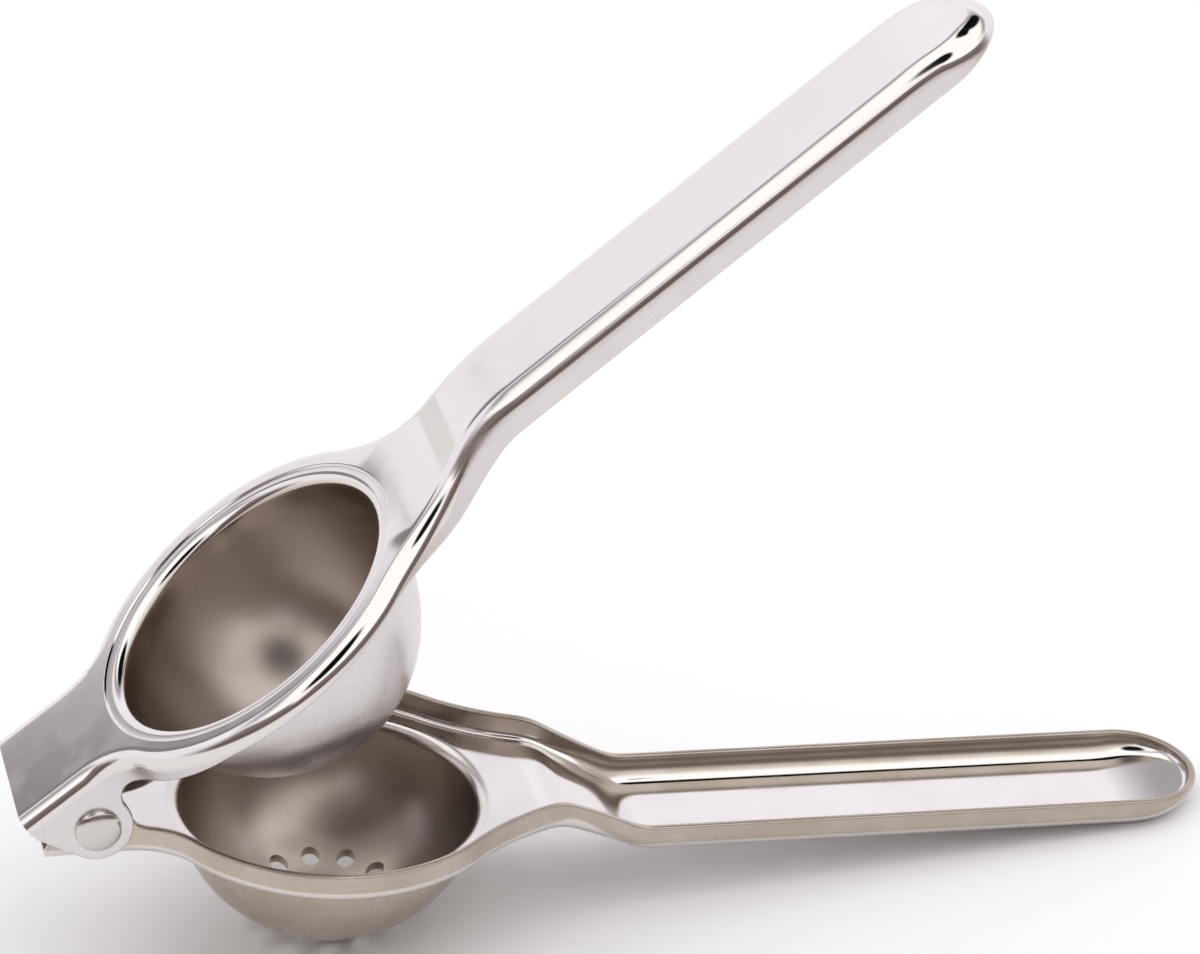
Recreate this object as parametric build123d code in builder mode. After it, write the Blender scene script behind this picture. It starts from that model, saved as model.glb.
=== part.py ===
from build123d import *
from math import acos, asin, atan2, cos, degrees, hypot, pi, radians, sin, sqrt, tan
import os

# Lemon squeezer: two one-piece stainless pressings, hinged on one headed pin.
# Each half is drawn in its own frame, with the hinge axis at the origin, +X
# towards the handle end and +Z away from the bowl. Millimetres, +Z up.

# ---------------------------------------------------------------- sizes
sheet = 1.3               # thickness of both pressings

# placing of the two halves
open_angle = 39.5         # opening between the two webs as modelled
bowl_x = 44.0             # hinge axis to the centre of cup and bowl
tip_x = 209.0             # hinge axis to the round ends of both handles

# press half (upper): flat web with a cup, edges turned down
press_web_z = 10.4        # web top above the hinge axis
press_tail_x = -9.2       # square end behind the hinge
press_tail_half = 14.6    # half width over the ears
press_flange_width = 8.1  # flange round the cup
press_handle_half = 11.9  # half width of the handle
press_hinge_blend = 12.0  # plan radius from the ears into the flange
press_neck_blend = 43.0   # plan radius from the flange into the handle
press_shoulder = 2.9      # outer bend radius along the edge
press_bend = 14.0         # radius of the two bends of the crank, seen from the side
press_rise = 7.0          # handle web above the cup web
press_crank_start = 1.4   # the crank starts this far past the flange
press_crank_run = 16.5
press_slope = 1.5         # degrees that the handle climbs to its end
tail_skirt = 4.6          # depth of the turned-down edge at each place
hinge_skirt = 5.8
cup_skirt = 3.4
neck_skirt = 5.4
cup_skirt_span = (-0.35, 0.7)  # the shallow edge round the cup, in flange radii from the cup's axis
hinge_skirt_end = -0.8    # where the edge has come down to the hinge's depth, likewise
edge_lag = 2.0            # the edge follows the crank this far behind the web
handle_skirt = 6.8
press_ear_wall = 3.8      # rounded ear round the pin

cup_gap = 1.2             # room between the closed cup and the bowl's mouth
pulp_gap = 6.5            # room under the closed cup for what is left of the fruit
cup_rim_drop = 1.0        # rim line below the web top
cup_lip = 2.0             # rounding of the mouth
lip_step_width = 3.2      # restruck step round the mouth
lip_step_depth = 0.3

# strainer half (lower): flat web with a bowl, edges turned up
strainer_web_z = -7.1     # web underside below the hinge axis
strainer_tail_x = -9.0
ear_gap = 0.35            # side play between an inner and an outer ear
strainer_flange_width = 6.6
strainer_handle_half = 12.9
strainer_hinge_blend = 12.5
strainer_neck_blend = 48.0
strainer_shoulder = 2.4
strainer_bend = 14.0
strainer_drop = 8.1       # handle web below the bowl web
strainer_crank_start = 6.5
strainer_crank_run = 15.5
strainer_slope = -1.4
strainer_wall = 5.7       # height of the turned-up edge
strainer_ear_wall = 3.7
rear_wall = 1.9           # what is left of the edge at the square end

bowl_r = 26.9             # inside radius of the strainer bowl
bowl_centre_up = 4.0      # centre of its sphere above the web underside
bowl_lip = 2.4            # rounding of the bowl's mouth
bowl_root = 1.1           # rounding under the web, round the outside of the bowl
hole_d = 3.4              # juice holes: one in the middle, then rings
hole_rings = ((6.2, 6), (12.4, 12))

# round handle ends and side outlines
deep = 60.0               # taller and wider than either pressing
overrun = 1.0             # cutting shapes run this far past what they cut
tip_run = 15.0            # length over which the web curls to the rim
curl_r = 24.0             # radius of that curl
press_tip_wall = 3.4      # edge left standing at the very end
strainer_tip_wall = 2.8

# hinge pin
pin_r = 2.5
pin_running = 0.05        # radial clearance in the strainer half's ears
head_lip = 1.6            # the head stands out round the pin
head_height = 1.8
head_edge = 0.35          # upright edge of the head under its dome

# ---------------------------------------------------------------- sizes that follow
press_ear_r = pin_r + press_ear_wall
strainer_ear_r = pin_r + strainer_ear_wall
head_r = pin_r + head_lip
strainer_tail_half = press_tail_half - sheet - ear_gap

bowl_outer_r = bowl_r + sheet
bowl_centre_z = strainer_web_z + bowl_centre_up
mouth_r = sqrt(bowl_r**2 - (bowl_centre_up - sheet) ** 2)
root_r = sqrt(bowl_outer_r**2 - bowl_centre_up**2)

# The closed cup stands in the bowl, clear of its mouth and of its floor.
cup_rim_z = press_web_z - cup_rim_drop
cup_depth = cup_rim_z - sheet - pulp_gap - (bowl_centre_z - bowl_r)
mouth_depth = cup_rim_z - (strainer_web_z + sheet)
cup_r = (mouth_r - cup_gap) / sqrt(1 - (mouth_depth / (cup_depth + sheet)) ** 2) - sheet

press_flange_r = cup_r + press_flange_width
strainer_flange_r = bowl_r + strainer_flange_width
press_crank = bowl_x + press_flange_r + press_crank_start
strainer_crank = bowl_x + strainer_flange_r + strainer_crank_start
press_crank_x = (press_crank, press_crank + press_crank_run)
strainer_crank_x = (strainer_crank, strainer_crank + strainer_crank_run)
end_x = tip_x + overrun

# ---------------------------------------------------------------- side lines
def side_line(tail, web_z, crank_x, rise, slope, end_rise, bend):
    """Side line of a web: level, cranked, then a handle that curls over at its end."""
    start, end = crank_x
    handle_z = web_z + rise
    knee = tip_x - tip_run / 2
    knee_z = handle_z + tan(radians(slope)) * (knee - end)
    last_z = knee_z + end_rise * (1 + 2 * overrun / tip_run)
    points = [(tail, web_z), (start, web_z), (end, handle_z), (knee, knee_z), (end_x, last_z)]
    return points, [bend, bend, curl_r]


def shifted(points, dz):
    return [(x, z + dz) for x, z in points]


strainer_bottom, strainer_radii = side_line(
    strainer_tail_x - overrun,
    strainer_web_z,
    strainer_crank_x,
    -strainer_drop,
    strainer_slope,
    strainer_wall - strainer_tip_wall,
    strainer_bend,
)
press_top, press_radii = side_line(
    press_tail_x - overrun,
    press_web_z,
    press_crank_x,
    press_rise,
    press_slope,
    press_tip_wall - handle_skirt,
    press_bend,
)

# ---------------------------------------------------------------- frames
# The squeezer lies on its bowl and on the curl at the end of the lower handle:
# a line that touches both circles is level.
knee = Vector(*strainer_bottom[3])
handle_way = (knee - Vector(*strainer_bottom[2])).normalized()
tip_way = (Vector(*strainer_bottom[4]) - knee).normalized()
curl_start = knee - handle_way * curl_r * tan(radians(handle_way.get_angle(tip_way)) / 2)
curl_centre = curl_start + Vector(-handle_way.Y, handle_way.X) * curl_r
rest_way = curl_centre - Vector(bowl_x, bowl_centre_z)
rest_tilt = degrees(asin((bowl_outer_r - curl_r) / rest_way.length) + atan2(rest_way.Y, rest_way.X))
strainer_turn = -rest_tilt
press_turn = open_angle - rest_tilt


def turned(x, z, turn):
    """Place, from the hinge, of a point in a half whose handle points `turn` degrees up."""
    return (x * cos(radians(turn)) - z * sin(radians(turn)), x * sin(radians(turn)) + z * cos(radians(turn)))


# The origin is under the middle of the squeezer, on the surface that it lies on.
tip_rim_z = strainer_web_z + strainer_wall - strainer_drop
tip_rim_z += tan(radians(strainer_slope)) * (tip_x - strainer_crank_x[1])
front_x = turned(tip_x, tip_rim_z, strainer_turn)[0]
back_x = turned(press_tail_x, press_web_z, press_turn)[0]
hinge = Vector(-(front_x + back_x) / 2, 0, bowl_outer_r - turned(bowl_x, bowl_centre_z, strainer_turn)[1])


def half_frame(turn):
    """Frame of a half whose handle points `turn` degrees above level."""
    way = Vector(cos(radians(turn)), 0, sin(radians(turn)))
    return Plane(origin=hinge, x_dir=way, z_dir=(-sin(radians(turn)), 0, cos(radians(turn))))


def side_of(frame):
    """Plane through the middle of a half, drawn in its own x and z."""
    return Plane(origin=frame.origin, x_dir=frame.x_dir, z_dir=-frame.y_dir)


strainer_frame = half_frame(strainer_turn)
press_frame = half_frame(press_turn)


# ---------------------------------------------------------------- outlines
def on_circle(centre, radius, angle):
    return (centre[0] + radius * cos(angle), centre[1] + radius * sin(angle))


def plan_face(tail, tail_half, flange_r, handle_half, hinge_blend, neck_blend, inset=0.0):
    """Plan of a half: square tail, round flange, concave neck, handle with a round end."""
    tail_half, flange_r, handle_half = tail_half - inset, flange_r - inset, handle_half - inset
    hinge_blend, neck_blend = hinge_blend + inset, neck_blend + inset
    rear = (bowl_x - sqrt((flange_r + hinge_blend) ** 2 - (tail_half + hinge_blend) ** 2),
            tail_half + hinge_blend)
    neck = (bowl_x + sqrt((flange_r + neck_blend) ** 2 - (handle_half + neck_blend) ** 2),
            handle_half + neck_blend)
    rear_angle = atan2(rear[1], rear[0] - bowl_x)
    neck_angle = atan2(neck[1], neck[0] - bowl_x)
    bowl = (bowl_x, 0)
    end = tip_x - inset - handle_half
    with BuildLine() as edge:
        Line((tail, 0), (tail, tail_half))
        Line((tail, tail_half), (rear[0], tail_half))
        ThreePointArc(
            (rear[0], tail_half),
            on_circle(rear, hinge_blend, (rear_angle - pi - pi / 2) / 2),
            on_circle(rear, hinge_blend, rear_angle - pi),
        )
        ThreePointArc(
            on_circle(bowl, flange_r, rear_angle),
            on_circle(bowl, flange_r, (rear_angle + neck_angle) / 2),
            on_circle(bowl, flange_r, neck_angle),
        )
        ThreePointArc(
            on_circle(neck, neck_blend, neck_angle - pi),
            on_circle(neck, neck_blend, (neck_angle - pi - pi / 2) / 2),
            (neck[0], handle_half),
        )
        Line((neck[0], handle_half), (end, handle_half))
        ThreePointArc(
            (end, handle_half),
            on_circle((end, 0), handle_half, pi / 4),
            (end + handle_half, 0),
        )
        mirror(about=Plane.XZ)
    return make_face(edge.line, mode=Mode.PRIVATE)


def side_face(points, radii, back):
    """Face between a rounded side line and the points that lead back to its start."""
    with BuildLine() as edge:
        FilletPolyline(*points, radius=radii)
        Polyline(points[-1], *back, points[0])
    return make_face(edge.line, mode=Mode.PRIVATE)


def bent_edges(part, frame, side):
    """Edges where the web meets the turned wall, without the square end."""
    web = part.faces().filter_by(lambda f: f.normal_at().dot(frame.z_dir) * side > 0.5)
    walls = part.faces().filter_by(
        lambda f: abs(f.normal_at().dot(frame.z_dir)) < 0.05 and f.normal_at().dot(frame.x_dir) > -0.99
    )
    return web.edges() & walls.edges()


def rings_at(part, frame, radius, z):
    """Circular edges about the bowl axis with this radius and height in the frame."""
    def fits(edge):
        spot = frame.to_local_coords(edge.arc_center)
        return abs(edge.radius - radius) < 0.02 and abs(spot.Z - z) < 0.02 and abs(spot.X - bowl_x) < 0.1
    return part.edges().filter_by(GeomType.CIRCLE).filter_by(fits)


def bowl_section(frame, z):
    """Half-section plane through the bowl axis, its origin on the axis at height z."""
    centre = frame.from_local_coords(Vector(bowl_x, 0, z))
    return Plane(origin=centre, x_dir=frame.x_dir, z_dir=-frame.y_dir)


def bowl_axis(frame):
    return Axis(frame.from_local_coords(Vector(bowl_x, 0, 0)), frame.z_dir)


# ---------------------------------------------------------------- press half
press_plan = (press_tail_half, press_flange_r, press_handle_half, press_hinge_blend, press_neck_blend)
press_edge_z = press_web_z + press_rise - handle_skirt
press_edge_end = press_edge_z + tan(radians(press_slope)) * (end_x - press_crank_x[1])
press_edge = [
    (end_x, press_edge_end),
    (press_crank_x[1] + edge_lag, press_edge_z),
    (press_crank_x[0] + edge_lag, press_web_z - neck_skirt),
    (bowl_x + cup_skirt_span[1] * press_flange_r, press_web_z - cup_skirt),
    (bowl_x + cup_skirt_span[0] * press_flange_r, press_web_z - cup_skirt),
    (bowl_x + hinge_skirt_end * press_flange_r, press_web_z - hinge_skirt),
    (press_tail_x - overrun, press_web_z - hinge_skirt),
]
ear_tail = (press_tail_x, press_web_z - tail_skirt)
ear_tangent = on_circle(
    (0, 0), press_ear_r, atan2(ear_tail[1], ear_tail[0]) + acos(press_ear_r / hypot(*ear_tail))
)

with BuildPart() as press_half:
    with BuildSketch(press_frame.offset(-deep)):
        add(plan_face(press_tail_x, *press_plan))
    extrude(amount=2 * deep)
    with BuildSketch(side_of(press_frame)) as press_side:
        add(side_face(press_top, press_radii, press_edge))
        with BuildLine():
            Polyline((0, 0), ear_tangent, ear_tail, (0, ear_tail[1]), (0, 0))
        make_face()
        Circle(press_ear_r)
        with Locations((0, 0)):
            Rectangle(2 * press_ear_r, press_web_z - sheet, align=(Align.CENTER, Align.MIN))
    extrude(amount=deep, both=True, mode=Mode.INTERSECT)
    fillet(bent_edges(press_half, press_frame, 1), press_shoulder)

with BuildPart() as press_hollow:
    with BuildSketch(press_frame.offset(-deep)):
        add(plan_face(press_tail_x - overrun, *press_plan, inset=sheet))
    extrude(amount=2 * deep)
    with BuildSketch(side_of(press_frame)):
        floor = [(end_x, -deep), (press_tail_x - overrun, -deep)]
        add(side_face(shifted(press_top, -sheet), press_radii, floor))
    extrude(amount=deep, both=True, mode=Mode.INTERSECT)
    fillet(bent_edges(press_hollow, press_frame, 1), press_shoulder - sheet)

with press_half:
    add(press_hollow.part, mode=Mode.SUBTRACT)
    with BuildSketch(bowl_section(press_frame, cup_rim_z)):
        Rectangle(cup_r, 3 * cup_rim_drop, align=(Align.MIN, Align.CENTER))
    revolve(axis=bowl_axis(press_frame), mode=Mode.SUBTRACT)
    with BuildSketch(bowl_section(press_frame, cup_rim_z)):
        Ellipse(cup_r + sheet, cup_depth + sheet)
        Ellipse(cup_r, cup_depth, mode=Mode.SUBTRACT)
        Rectangle(2 * cup_r, 2 * cup_depth, align=(Align.MIN, Align.MAX), mode=Mode.INTERSECT)
        with Locations((cup_r, 0)):
            Rectangle(sheet, cup_rim_drop, align=(Align.MIN, Align.MIN))
    revolve(axis=bowl_axis(press_frame))
    with BuildSketch(bowl_section(press_frame, press_web_z)):
        Rectangle(cup_r + lip_step_width, 2 * lip_step_depth, align=(Align.MIN, Align.CENTER))
    revolve(axis=bowl_axis(press_frame), mode=Mode.SUBTRACT)
    fillet(rings_at(press_half, press_frame, cup_r, press_web_z - lip_step_depth), cup_lip)
    with BuildSketch(side_of(press_frame)):
        Circle(pin_r)
    extrude(amount=deep, both=True, mode=Mode.SUBTRACT)
press_half.part.label = "press_half"

# ---------------------------------------------------------------- strainer half
strainer_plan = (
    strainer_tail_half,
    strainer_flange_r,
    strainer_handle_half,
    strainer_hinge_blend,
    strainer_neck_blend,
)
strainer_rim_z = strainer_web_z + strainer_wall
strainer_handle_rim_z = strainer_rim_z - strainer_drop
strainer_end_z = strainer_handle_rim_z + tan(radians(strainer_slope)) * (end_x - strainer_crank_x[1])
strainer_rim = [
    (end_x, strainer_end_z),
    (strainer_crank_x[1], strainer_handle_rim_z),
    (strainer_crank_x[0], strainer_rim_z),
    (0, strainer_rim_z),
    (0, strainer_web_z + rear_wall),
    (strainer_tail_x - overrun, strainer_web_z + rear_wall),
]
rear_corner = (strainer_tail_x, strainer_web_z + rear_wall)
rear_tangent = on_circle(
    (0, 0), strainer_ear_r, atan2(rear_corner[1], rear_corner[0]) - acos(strainer_ear_r / hypot(*rear_corner))
)

with BuildPart() as strainer_half:
    with BuildSketch(strainer_frame.offset(-deep)):
        add(plan_face(strainer_tail_x, *strainer_plan))
    extrude(amount=2 * deep)
    with BuildSketch(side_of(strainer_frame)):
        add(side_face(strainer_bottom, strainer_radii, strainer_rim))
        with BuildLine():
            Polyline((0, 0), rear_tangent, rear_corner, (0, rear_corner[1]), (0, 0))
        make_face()
        Circle(strainer_ear_r)
        Rectangle(2 * strainer_ear_r, -strainer_web_z - sheet, align=(Align.CENTER, Align.MAX))
    extrude(amount=deep, both=True, mode=Mode.INTERSECT)
    fillet(bent_edges(strainer_half, strainer_frame, -1), strainer_shoulder)

with BuildPart() as strainer_hollow:
    with BuildSketch(strainer_frame.offset(-deep)):
        add(plan_face(strainer_tail_x - overrun, *strainer_plan, inset=sheet))
    extrude(amount=2 * deep)
    with BuildSketch(side_of(strainer_frame)):
        roof = [(end_x, deep), (strainer_tail_x - overrun, deep)]
        add(side_face(shifted(strainer_bottom, sheet), strainer_radii, roof))
    extrude(amount=deep, both=True, mode=Mode.INTERSECT)
    fillet(bent_edges(strainer_hollow, strainer_frame, -1), strainer_shoulder - sheet)

with strainer_half:
    add(strainer_hollow.part, mode=Mode.SUBTRACT)
    with BuildSketch(bowl_section(strainer_frame, bowl_centre_z)):
        Circle(bowl_r)
        Rectangle(2 * bowl_r, 2 * bowl_r, align=(Align.MIN, Align.MAX), mode=Mode.INTERSECT)
    revolve(axis=bowl_axis(strainer_frame), mode=Mode.SUBTRACT)
    with BuildSketch(bowl_section(strainer_frame, bowl_centre_z)):
        Circle(bowl_outer_r)
        Circle(bowl_r, mode=Mode.SUBTRACT)
        with Locations((0, sheet - bowl_centre_up)):
            Rectangle(2 * bowl_r, 2 * bowl_r, align=(Align.MIN, Align.MAX), mode=Mode.INTERSECT)
    revolve(axis=bowl_axis(strainer_frame))
    fillet(rings_at(strainer_half, strainer_frame, mouth_r, strainer_web_z + sheet), bowl_lip)
    fillet(rings_at(strainer_half, strainer_frame, root_r, strainer_web_z), bowl_root)
    bowl_foot = bowl_section(strainer_frame, bowl_centre_z - bowl_outer_r - overrun).origin
    with BuildSketch(Plane(origin=bowl_foot, x_dir=strainer_frame.x_dir, z_dir=strainer_frame.z_dir)):
        Circle(hole_d / 2)
        for ring_r, count in hole_rings:
            with PolarLocations(ring_r, count):
                Circle(hole_d / 2)
    extrude(amount=bowl_outer_r / 2, mode=Mode.SUBTRACT)
    with BuildSketch(side_of(strainer_frame)):
        Circle(pin_r + pin_running)
    extrude(amount=deep, both=True, mode=Mode.SUBTRACT)
strainer_half.part.label = "strainer_half"

# ---------------------------------------------------------------- hinge pin
dome_rise = head_height - head_edge
dome_r = (head_r**2 + dome_rise**2) / (2 * dome_rise)
half_angle = asin(head_r / dome_r) / 2
crown = on_circle((press_tail_half + head_height - dome_r, 0), dome_r, half_angle)

with BuildPart() as hinge_pin:
    with BuildSketch(Plane(origin=hinge, x_dir=(0, 1, 0), z_dir=(1, 0, 0))):
        with BuildLine():
            top = (press_tail_half + head_height, 0)
            rim = (press_tail_half + head_edge, head_r)
            Line((0, 0), (0, pin_r))
            Line((0, pin_r), (press_tail_half, pin_r))
            Line((press_tail_half, pin_r), (press_tail_half, head_r))
            Line((press_tail_half, head_r), rim)
            ThreePointArc(rim, crown, top)
            Line(top, (0, 0))
        make_face()
        mirror(about=Plane.YZ)
    revolve(axis=Axis(hinge, (0, 1, 0)))
hinge_pin.part.label = "hinge_pin"

# ---------------------------------------------------------------- files
os.makedirs("parts", exist_ok=True)
for piece in (press_half, strainer_half, hinge_pin):
    export_step(piece.part, f"parts/{piece.part.label}.step")
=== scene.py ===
from math import asin, atan, atan2, cos, hypot, pi, radians, sin, sqrt, tan

import bmesh
import bpy
import numpy as np
from bpy.props import FloatProperty, FloatVectorProperty, IntProperty, IntVectorProperty, PointerProperty
from mathutils import Matrix, Vector


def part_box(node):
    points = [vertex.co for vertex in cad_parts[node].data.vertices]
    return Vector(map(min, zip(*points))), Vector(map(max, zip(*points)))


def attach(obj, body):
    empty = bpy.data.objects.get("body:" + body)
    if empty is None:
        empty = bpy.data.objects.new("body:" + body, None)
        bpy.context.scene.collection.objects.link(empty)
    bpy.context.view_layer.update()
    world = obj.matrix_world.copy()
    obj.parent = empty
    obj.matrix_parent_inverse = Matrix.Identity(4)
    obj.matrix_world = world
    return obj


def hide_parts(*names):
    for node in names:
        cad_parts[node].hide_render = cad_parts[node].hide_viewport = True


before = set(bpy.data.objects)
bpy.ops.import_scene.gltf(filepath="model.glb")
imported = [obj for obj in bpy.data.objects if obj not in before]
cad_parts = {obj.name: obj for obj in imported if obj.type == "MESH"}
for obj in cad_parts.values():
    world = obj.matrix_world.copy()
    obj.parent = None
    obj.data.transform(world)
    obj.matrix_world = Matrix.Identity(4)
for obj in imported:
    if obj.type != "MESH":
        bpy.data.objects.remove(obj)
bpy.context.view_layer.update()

bl_info = {
    "name": "Lemon squeezer",
    "version": (1, 0, 0),
    "blender": (4, 5, 0),
    "location": "3D View > Sidebar > Squeezer",
    "description": "Two pressed stainless halves on one riveted pin",
    "category": "Add Mesh",
}

MM = 0.001
PIN_LOW, PIN_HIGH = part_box("hinge_pin")
HINGE = (PIN_LOW + PIN_HIGH) / 2
WELD = 1e-6  # points closer than this are one point
CREASE = radians(32)  # edges that turn more than this stay crisp
LAND = 0.15 * MM  # short flat beside a bend, which keeps the face's shading level
EAR_STEP = 0.8 * MM  # between points along an ear
SIDE_STEP = 1.2 * MM  # between points along the sides, at most
TIP_STEP = 0.55 * MM  # the same round the end of a handle
WALL_SHARES = (0.05, 0.2, 0.4, 0.6, 0.8, 0.95, 1)  # rows down a turned wall
BOWL_ROWS = 44  # rows from the rim of a cup or bowl to its middle


# ------------ settings
def size(name, millimetres, description):
    """A length in the panel, given in millimetres and kept in metres."""
    return FloatProperty(
        name=name, description=description, default=millimetres * MM, precision=5,
        subtype="DISTANCE", unit="LENGTH",
    )


def turn(name, degrees, description):
    """An angle in the panel, given in degrees and kept in radians."""
    return FloatProperty(
        name=name, description=description, default=radians(degrees), subtype="ANGLE", unit="ROTATION"
    )


def linear(code):
    """Linear colour of an sRGB hex value."""
    channels = [int(code[i:i + 2], 16) / 255 for i in (0, 2, 4)]
    return [c / 12.92 if c <= 0.04045 else ((c + 0.055) / 1.055) ** 2.4 for c in channels]


def finish_colour(name, code, description):
    """A colour in the panel, given as an sRGB hex value."""
    return FloatVectorProperty(
        name=name, description=description, default=linear(code), size=3, min=0, max=1, subtype="COLOR"
    )


class PressSizes(bpy.types.PropertyGroup):
    """Upper half, heights counted from the hinge towards its flat face."""
    web_z: size("Face height", 10.4, "Face above the hinge axis")
    tail_x: size("Tail", -9.2, "Square end behind the hinge axis")
    tail_half: size("Tail half width", 14.6, "Half width over the ears")
    flange_r: size("Flange radius", 35.62, "Outer radius of the flange round the cup")
    handle_half: size("Handle half width", 11.9, "Half width of the handle")
    hinge_blend: size("Hinge blend", 12.0, "Plan radius from the ears into the flange")
    neck_blend: size("Neck blend", 43.0, "Plan radius from the flange into the handle")
    crank_start: size("Crank start", 81.02, "Where the face starts to step up")
    crank_end: size("Crank end", 97.52, "Where the step ends")
    rise: size("Rise", 7.0, "Handle face above the cup's face")
    slope: turn("Slope", 1.5, "The handle climbs this much to its end")
    end_drop: size("End drop", 3.4, "How far the face curls over at the round end")
    bend: size("Crank bend", 38.0, "Bend radius of the crank, from the side")
    shoulder: size("Shoulder", 2.9, "Outer bend radius along the edge")
    handle_shoulder: size("Handle shoulder", 3.9, "Outer bend radius along the handle")
    handle_fillet: size("Handle fillet", 2.6, "Inner bend radius along the handle")
    ear_r: size("Ear radius", 6.3, "Rounded ear about the hinge axis")
    ear_fillet: size("Ear fillet", 5.0, "Rounding between the ear and the edge")
    tail_edge: size("Tail edge", 4.6, "Depth of the edge at the square end")
    hinge_edge: size("Hinge edge", 5.8, "Depth of the edge beside the hinge")
    cup_edge: size("Cup edge", 3.4, "Depth of the edge round the cup")
    neck_edge: size("Neck edge", 5.4, "Depth of the edge at the neck")
    handle_edge: size("Handle edge", 6.8, "Depth of the edge along the handle")
    cup_r: size("Cup radius", 27.52, "Inside radius of the cup at its mouth")
    cup_depth: size("Cup depth", 31.6, "Inside depth of the cup below its rim line")
    rim_drop: size("Rim drop", 1.0, "Rim line below the face")
    lip: size("Lip", 2.0, "Rounding of the cup's mouth")
    step_width: size("Step width", 3.2, "Struck step round the mouth")
    step_depth: size("Step depth", 0.3, "Depth of the struck step")
    root: size("Root", 0.9, "Rounding under the face, round the cup")


class StrainerSizes(bpy.types.PropertyGroup):
    """Lower half, heights counted from the hinge towards its flat face, which is underneath."""
    web_z: size("Face height", 7.1, "Face below the hinge axis")
    tail_x: size("Tail", -9.0, "Square end behind the hinge axis")
    tail_half: size("Tail half width", 12.95, "Half width over the ears")
    flange_r: size("Flange radius", 33.5, "Outer radius of the flange round the bowl")
    handle_half: size("Handle half width", 12.9, "Half width of the handle")
    hinge_blend: size("Hinge blend", 12.5, "Plan radius from the ears into the flange")
    neck_blend: size("Neck blend", 48.0, "Plan radius from the flange into the handle")
    crank_start: size("Crank start", 84.0, "Where the face starts to step down")
    crank_end: size("Crank end", 99.5, "Where the step ends")
    rise: size("Drop", 8.1, "Handle face below the bowl's face")
    slope: turn("Slope", 1.4, "The handle falls this much to its end")
    end_drop: size("End drop", 2.9, "How far the face curls up at the round end")
    bend: size("Crank bend", 11.0, "Bend radius of the crank, from the side")
    shoulder: size("Shoulder", 2.4, "Outer bend radius along the edge")
    handle_shoulder: size("Handle shoulder", 3.3, "Outer bend radius along the handle")
    handle_fillet: size("Handle fillet", 3.6, "Inner bend radius along the handle")
    ear_r: size("Ear radius", 6.2, "Rounded ear about the hinge axis")
    ear_fillet: size("Ear fillet", 3.0, "Rounding between the ear and the edge")
    tail_edge: size("Tail edge", 1.9, "Height of the turned edge at the square end")
    wall: size("Wall", 5.7, "Height of the turned edge")
    bowl_r: size("Bowl radius", 26.9, "Inside radius of the bowl")
    bowl_up: size("Bowl centre", 4.0, "Centre of the bowl's sphere inside its flat face")
    root: size("Root", 1.1, "Rounding under the face, round the bowl")
    hole_d: size("Juice hole", 3.4, "Diameter of a juice hole")
    ring_r: FloatVectorProperty(
        name="Hole rings", description="Radii of the two rings of juice holes",
        default=(6.2 * MM, 12.4 * MM), size=2, subtype="XYZ", unit="LENGTH",
    )
    ring_count: IntVectorProperty(
        name="Holes per ring", description="Number of juice holes in each ring", default=(6, 12), size=2
    )


class PinSizes(bpy.types.PropertyGroup):
    shaft_r: size("Shaft radius", 2.5, "Radius of the pin's shaft")
    running: size("Running clearance", 0.05, "Radial clearance of the bores")
    grip: size("Half grip", 14.6, "Half length between the heads")
    head_r: size("Head radius", 4.1, "Radius of the set head")
    head_height: size("Head height", 1.8, "Height of the set head")
    head_edge: size("Head edge", 0.5, "Rounding at the rim of the head")
    facets: IntProperty(name="Facets", description="Segments round the pin", default=64, min=24)


class SqueezerSettings(bpy.types.PropertyGroup):
    sheet: size("Sheet", 1.3, "Thickness of both pressings")
    edge_r: size("Edge rounding", 0.35, "Rounding of the sheared edges")
    edge_bend: size("Edge line bend", 22.0, "Radius where the edge's depth changes")
    curl: size("End curl", 46.0, "Radius of the face's curl at the round end")
    curl_run: size("Curl run", 21.0, "Length of that curl")
    bowl_x: size("Bowl centre", 44.0, "Hinge axis to the centre of cup and bowl")
    tip_x: size("Length", 209.0, "Hinge axis to the round ends of the handles")
    opening: turn("Opening", 39.5, "Angle between the halves as built")
    press: PointerProperty(type=PressSizes, name="Press half", description="Sizes of the upper half")
    strainer: PointerProperty(type=StrainerSizes, name="Strainer half", description="Sizes of the lower half")
    pin: PointerProperty(type=PinSizes, name="Pin", description="Sizes of the hinge pin")
    steel: finish_colour("Steel", "DDD9D6", "Colour of buffed stainless steel")
    # Painted shade: a darker brown that stands in for the shade inside the cup and the bowl
    painted_bowl_shade: finish_colour("Painted bowl shade", "B0A59D", "Painted shade inside the bowls")
    # Painted shade: darker colours that stand in for the shade on the turned walls and the bowl's back
    press_wall_shade: finish_colour("Press wall shade", "D8D3D3", "Painted shade on the satin walls of the upper half")
    strainer_wall_shade: finish_colour("Strainer wall shade", "B5A99C", "Painted shade on the satin walls of the lower half")
    pin_steel: finish_colour("Pin steel", "CFCBC8", "Colour of the pin's steel")
    floor: finish_colour("Floor", "F4F3F3", "Colour of the paper floor")
    azimuth: turn("Camera azimuth", -12.895, "Camera's place round the squeezer")
    elevation: turn("Camera elevation", 30.22, "Camera's height over the horizon")
    roll: turn("Camera roll", -1.285, "Turn of the camera about its own axis")
    distance: size("Camera distance", 938.0, "Camera to the point that it looks at")
    aim: FloatVectorProperty(
        name="Camera aim", description="Point that the camera looks at",
        default=(-2.2 * MM, 0.0, 83.6 * MM), size=3, subtype="TRANSLATION", unit="LENGTH",
    )
    lens: FloatProperty(
        name="Lens", description="Focal length in millimetres on a 36 mm sensor", default=160.1
    )


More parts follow.
